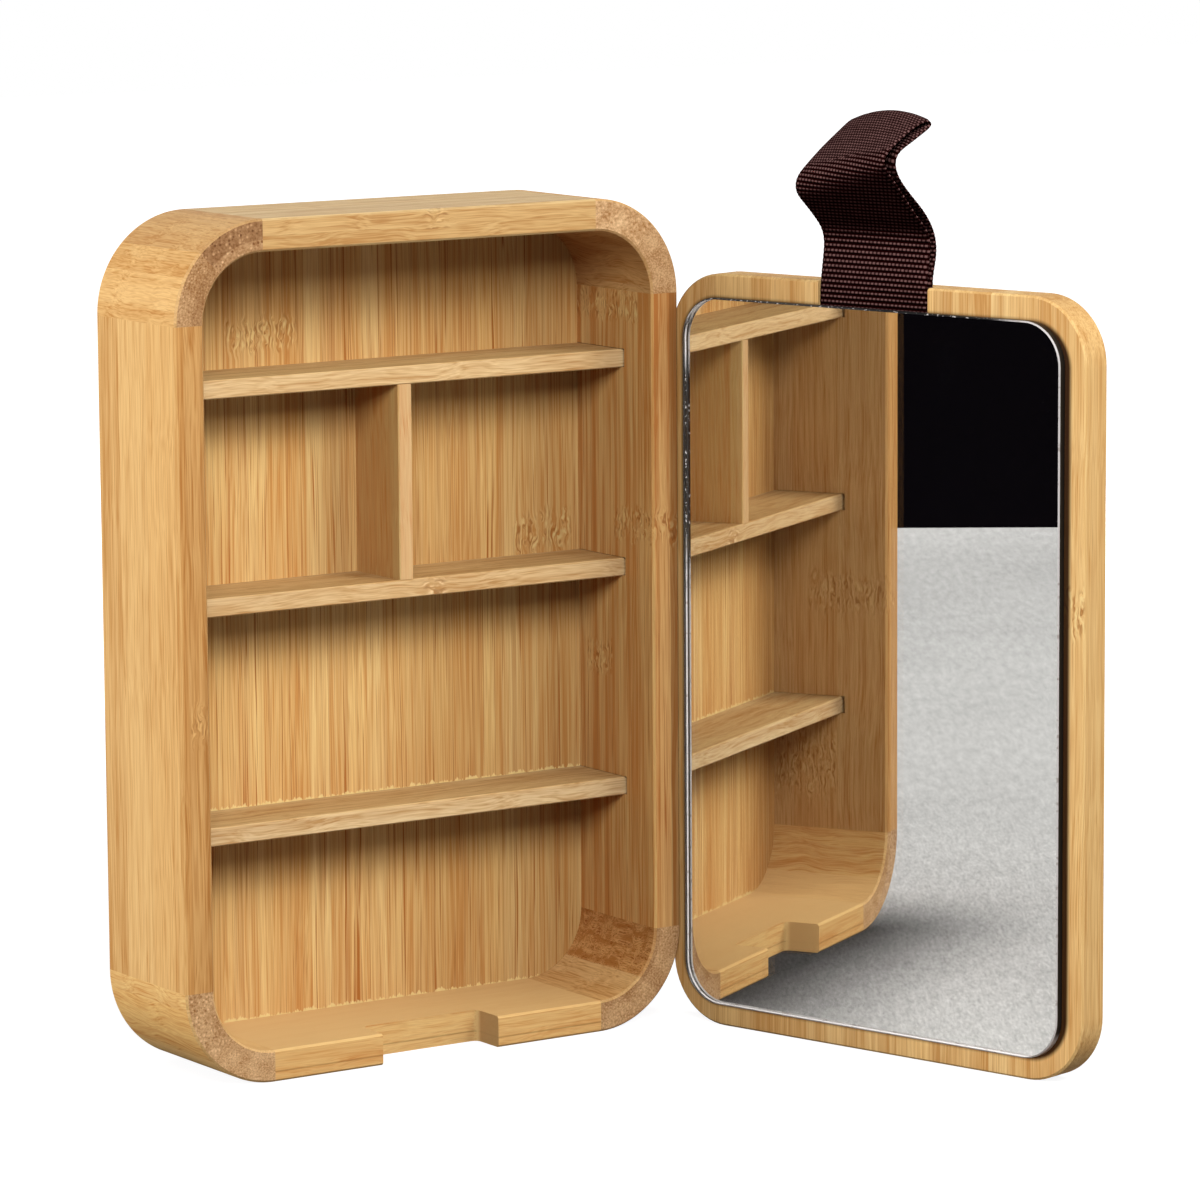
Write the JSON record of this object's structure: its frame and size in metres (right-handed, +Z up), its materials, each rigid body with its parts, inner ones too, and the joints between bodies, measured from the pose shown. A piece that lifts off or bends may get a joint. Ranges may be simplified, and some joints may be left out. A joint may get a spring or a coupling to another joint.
{
  "type": "storage box",
  "caption": "Upright bamboo box with round corners, shelves and a divider, and a loose mirror lid with a webbing pull loop.",
  "frame": {"origin": "centre of the box's underside, on the plane that the box and its lid stand on", "axes": "+Z up; +X to the right seen from the open front; +Y from the open front to the back panel"},
  "size_m": [0.2137, 0.1805, 0.265],
  "materials": {
    "bamboo_frame": "sanded and clear oiled, grain along each member",
    "bamboo_end_grain": "sanded, end grain to the front",
    "bamboo_panel": "sanded and clear oiled, upright strips of mixed tone",
    "bamboo_shelf": "sanded, grain along the shelf",
    "bamboo_lid": "sanded and clear oiled, upright strips",
    "glass": "polished face, ground edge",
    "silver": "silvered back of the glass",
    "webbing": "dark brown ribbed webbing"
  },
  "bodies": {
    "box": {"top_rail": "bamboo_frame", "bottom_rail": "bamboo_frame", "left_stile": "bamboo_frame", "right_stile": "bamboo_frame", "top_left_rail_corner": "bamboo_end_grain", "top_left_stile_corner": "bamboo_end_grain", "top_right_rail_corner": "bamboo_end_grain", "top_right_stile_corner": "bamboo_end_grain", "bottom_left_rail_corner": "bamboo_end_grain", "bottom_left_stile_corner": "bamboo_end_grain", "bottom_right_rail_corner": "bamboo_end_grain", "bottom_right_stile_corner": "bamboo_end_grain", "back_panel": "bamboo_panel", "top_shelf": "bamboo_shelf", "middle_shelf": "bamboo_shelf", "bottom_shelf": "bamboo_shelf", "divider": "bamboo_shelf"},
    "lid": {"lid_panel": "bamboo_lid", "mirror_glass": "glass", "mirror_silver": "silver", "strap_tail": "webbing"},
    "strap": {"strap_loop": "webbing"}
  },
  "joints": [
    {"name": "lid_lift", "type": "slide", "parent": "box", "child": "lid", "axis": [0, 0, 1], "range_m": [0, 0.26]},
    {"name": "strap_flex", "type": "hinge", "parent": "lid", "child": "strap", "pos_m": [0.10405, -0.08773, 0.21975], "axis": [0.2656, -0.9641, 0], "range_deg": [-55, 45], "stiffness_Nm_per_rad": 0.02}
  ]
}
